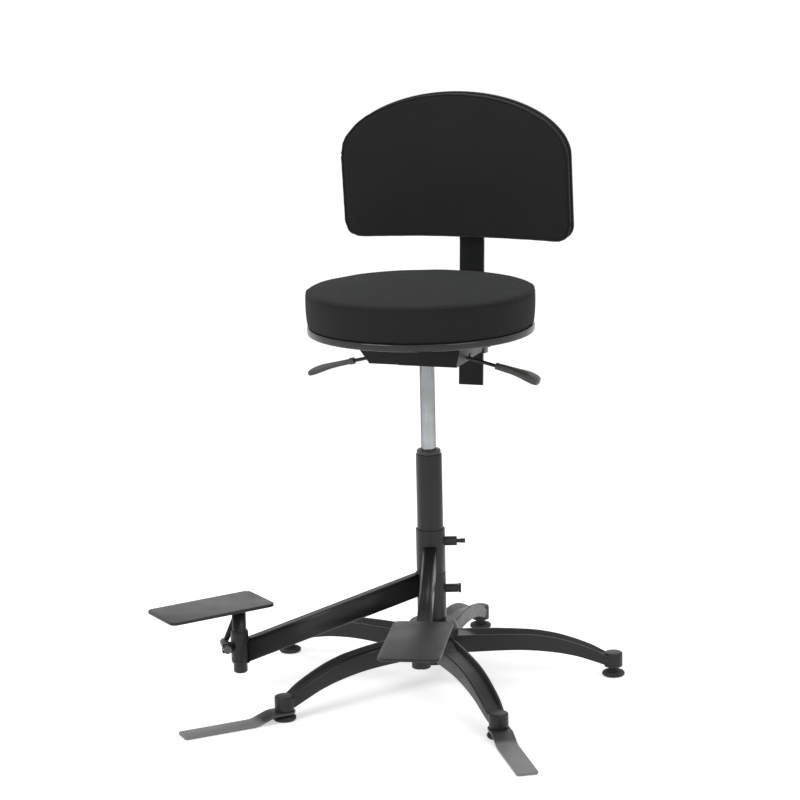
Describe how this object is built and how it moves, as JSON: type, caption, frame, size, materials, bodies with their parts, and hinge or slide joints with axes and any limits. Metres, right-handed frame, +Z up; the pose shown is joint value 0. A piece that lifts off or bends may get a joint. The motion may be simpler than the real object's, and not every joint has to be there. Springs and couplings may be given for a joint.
{
  "type": "double bass stool",
  "caption": "Height-adjustable stool for a double bass player: padded round seat, curved backrest, star base with floor bars, and foot plates on arms that swing round the column.",
  "frame": {"origin": "middle of the footprint's bounding box, on the floor", "axes": "+Z up, -Y is the way the sitter faces, +X is the sitter's left; the column's axis stands at x 0.0623, y 0.0684"},
  "size_m": [0.8322, 0.8758, 1.1168],
  "materials": {
    "black_coat": "satin black powder coat with a fine grain",
    "bar_coat": "satin dark grey powder coat",
    "cylinder_chrome": "polished chrome",
    "plain_steel": "zinc plated",
    "black_steel": "blackened steel",
    "black_plastic": "moulded, matt",
    "grey_plastic": "moulded, satin",
    "glide_rubber": "moulded rubber",
    "gloss_trim": "glossy extruded edge",
    "board_plywood": "raw plywood",
    "black_fabric": "woven black upholstery over foam"
  },
  "bodies": {
    "base": {"star_base": "black_coat", "glide_nut_1": "plain_steel", "glide_nut_2": "plain_steel", "glide_nut_3": "plain_steel", "column_tube": "black_coat", "guide_bush": "black_plastic", "thrust_bearing": "plain_steel", "lower_liner": "black_plastic"},
    "glide_a": {"glide_1": "glide_rubber"},
    "glide_b": {"glide_2": "glide_rubber"},
    "glide_c": {"glide_3": "glide_rubber"},
    "glide_d": {"glide_4": "glide_rubber"},
    "glide_e": {"glide_5": "glide_rubber"},
    "bar_left": {"outrigger_left": "bar_coat"},
    "bar_right": {"outrigger_right": "bar_coat"},
    "lift_rod": {"piston_rod": "plain_steel", "rod_clip": "plain_steel"},
    "seat_unit": {"gas_cylinder": "cylinder_chrome", "mechanism_housing": "black_coat", "seat_plate": "black_steel", "seat_bolt_1": "plain_steel", "seat_bolt_2": "plain_steel", "seat_bolt_3": "plain_steel", "seat_bolt_4": "plain_steel", "seat_board": "board_plywood", "seat_edge_trim": "gloss_trim", "seat_cushion": "black_fabric", "tilt_pin": "plain_steel"},
    "button": {"release_button": "plain_steel"},
    "height_lever": {"height_lever_rod": "black_steel", "height_lever_grip": "grey_plastic"},
    "back_lever": {"back_lever_rod": "black_steel", "back_lever_grip": "grey_plastic"},
    "tilt_bracket": {"back_bracket": "black_steel"},
    "bracket_knob": {"post_knob": "black_plastic"},
    "backrest": {"back_post": "black_coat", "backrest_shell": "black_plastic", "backrest_pad": "black_fabric", "backrest_screw_1": "plain_steel", "backrest_screw_2": "plain_steel"},
    "lower_swing": {"lower_sleeve": "black_coat", "lower_arm": "black_coat", "lower_end_sleeve": "black_coat", "lower_clamp_bolt": "plain_steel"},
    "lower_lock": {"lower_lock_knob": "black_steel"},
    "lower_lever": {"lower_clamp_lever": "black_plastic"},
    "lower_bush": {"lower_end_bush": "black_plastic"},
    "lower_rest": {"lower_post": "black_coat", "lower_foot_plate": "black_coat"},
    "upper_slider": {"upper_liner": "black_plastic"},
    "upper_swing": {"upper_sleeve": "black_coat", "upper_arm": "black_coat", "upper_end_sleeve": "black_coat", "upper_clamp_bolt": "plain_steel"},
    "upper_pin": {"upper_lock_pin": "black_steel"},
    "upper_lever": {"upper_clamp_lever": "black_plastic"},
    "upper_bush": {"upper_end_bush": "black_plastic"},
    "upper_rest": {"upper_post": "black_coat", "upper_foot_plate": "black_coat"}
  },
  "joints": [
    {"name": "glide_1_turn", "type": "hinge", "parent": "base", "child": "glide_a", "pos_m": [0.39517, 0.17656, 0], "axis": [0, 0, 1], "continuous": true},
    {"name": "glide_2_turn", "type": "hinge", "parent": "base", "child": "glide_b", "pos_m": [0.0623, 0.4184, 0], "axis": [0, 0, 1], "continuous": true},
    {"name": "glide_3_turn", "type": "hinge", "parent": "base", "child": "glide_c", "pos_m": [-0.27057, 0.17656, 0], "axis": [0, 0, 1], "continuous": true},
    {"name": "glide_4_turn", "type": "hinge", "parent": "base", "child": "glide_d", "pos_m": [-0.14342, -0.21476, 0], "axis": [0, 0, 1], "continuous": true},
    {"name": "glide_5_turn", "type": "hinge", "parent": "base", "child": "glide_e", "pos_m": [0.26802, -0.21476, 0], "axis": [0, 0, 1], "continuous": true},
    {"name": "left_bar_swing", "type": "hinge", "parent": "base", "child": "bar_left", "pos_m": [-0.14342, -0.21476, 0.016], "axis": [0, 0, 1], "range_deg": [-45, 45]},
    {"name": "right_bar_swing", "type": "hinge", "parent": "base", "child": "bar_right", "pos_m": [0.26802, -0.21476, 0.016], "axis": [0, 0, 1], "range_deg": [-45, 45]},
    {"name": "seat_swivel", "type": "hinge", "parent": "base", "child": "lift_rod", "pos_m": [0.0623, 0.0684, 0.058], "axis": [0, 0, 1], "continuous": true},
    {"name": "seat_lift", "type": "slide", "parent": "lift_rod", "child": "seat_unit", "axis": [0, 0, 1], "range_m": [-0.12, 0.08]},
    {"name": "height_lever_lift", "type": "hinge", "parent": "seat_unit", "child": "height_lever", "pos_m": [0.00235, 0.07091, 0.6465], "axis": [0.0419, 0.9991, 0], "range_deg": [0, 5], "stiffness_Nm_per_rad": 2, "springref_deg": -5.73},
    {"name": "button_press", "type": "slide", "parent": "seat_unit", "child": "button", "axis": [0, 0, -1], "range_m": [0, 0.0055]},
    {"name": "back_lever_lift", "type": "hinge", "parent": "seat_unit", "child": "back_lever", "pos_m": [0.12225, 0.06589, 0.6465], "axis": [-0.0419, -0.9991, 0], "range_deg": [0, 5], "stiffness_Nm_per_rad": 2, "springref_deg": -5.73},
    {"name": "back_tilt", "type": "hinge", "parent": "seat_unit", "child": "tilt_bracket", "pos_m": [0.0649, 0.13035, 0.652], "axis": [-0.9991, 0.0419, 0], "range_deg": [-4, 10]},
    {"name": "knob_turn", "type": "hinge", "parent": "tilt_bracket", "child": "bracket_knob", "pos_m": [0.07384, 0.34384, 0.61806], "axis": [0.9991, -0.0419, 0], "range_deg": [0, 180]},
    {"name": "back_height", "type": "slide", "parent": "tilt_bracket", "child": "backrest", "axis": [0.0033, 0.0784, 0.9969], "range_m": [-0.04, 0.06]},
    {"name": "lower_arm_swing", "type": "hinge", "parent": "base", "child": "lower_swing", "pos_m": [0.0623, 0.0684, 0.17], "axis": [0, 0, 1], "range_deg": [-60, 25]},
    {"name": "lower_lock_turn", "type": "hinge", "parent": "lower_swing", "child": "lower_lock", "pos_m": [0.0623, 0.0684, 0.185], "axis": [0.9583, 0.2857, 0], "range_deg": [0, 180]},
    {"name": "lower_lever_turn", "type": "hinge", "parent": "lower_swing", "child": "lower_lever", "pos_m": [-0.29132, -0.11962, 0.099], "axis": [0.4695, -0.8829, 0], "range_deg": [0, 100]},
    {"name": "lower_plate_turn", "type": "hinge", "parent": "lower_swing", "child": "lower_bush", "pos_m": [-0.26881, -0.10765, 0.1], "axis": [0, 0, 1], "range_deg": [-90, 90]},
    {"name": "lower_plate_height", "type": "slide", "parent": "lower_bush", "child": "lower_rest", "axis": [0, 0, 1], "range_m": [-0.015, 0.04]},
    {"name": "upper_sleeve_height", "type": "slide", "parent": "base", "child": "upper_slider", "axis": [0, 0, 1], "range_m": [0, 0.1]},
    {"name": "upper_arm_swing", "type": "hinge", "parent": "upper_slider", "child": "upper_swing", "pos_m": [0.0623, 0.0684, 0.26], "axis": [0, 0, 1], "range_deg": [-20, 55]},
    {"name": "upper_pin_pull", "type": "slide", "parent": "upper_swing", "child": "upper_pin", "axis": [0.9583, 0.2857, 0], "range_m": [0, 0.006], "stiffness_N_per_m": 200, "springref_m": -0.004},
    {"name": "upper_lever_turn", "type": "hinge", "parent": "upper_swing", "child": "upper_lever", "pos_m": [0.14407, -0.28578, 0.1675], "axis": [-0.9744, -0.225, 0], "range_deg": [0, 90]},
    {"name": "upper_plate_turn", "type": "hinge", "parent": "upper_swing", "child": "upper_bush", "pos_m": [0.13833, -0.26094, 0.17], "axis": [0, 0, 1], "range_deg": [-30, 30]},
    {"name": "upper_plate_height", "type": "slide", "parent": "upper_bush", "child": "upper_rest", "axis": [0, 0, 1], "range_m": [0, 0.03]}
  ],
  "couplings": [
    {"joint": "button_press", "follows": "height_lever_lift", "m_per_rad": 0.06}
  ]
}
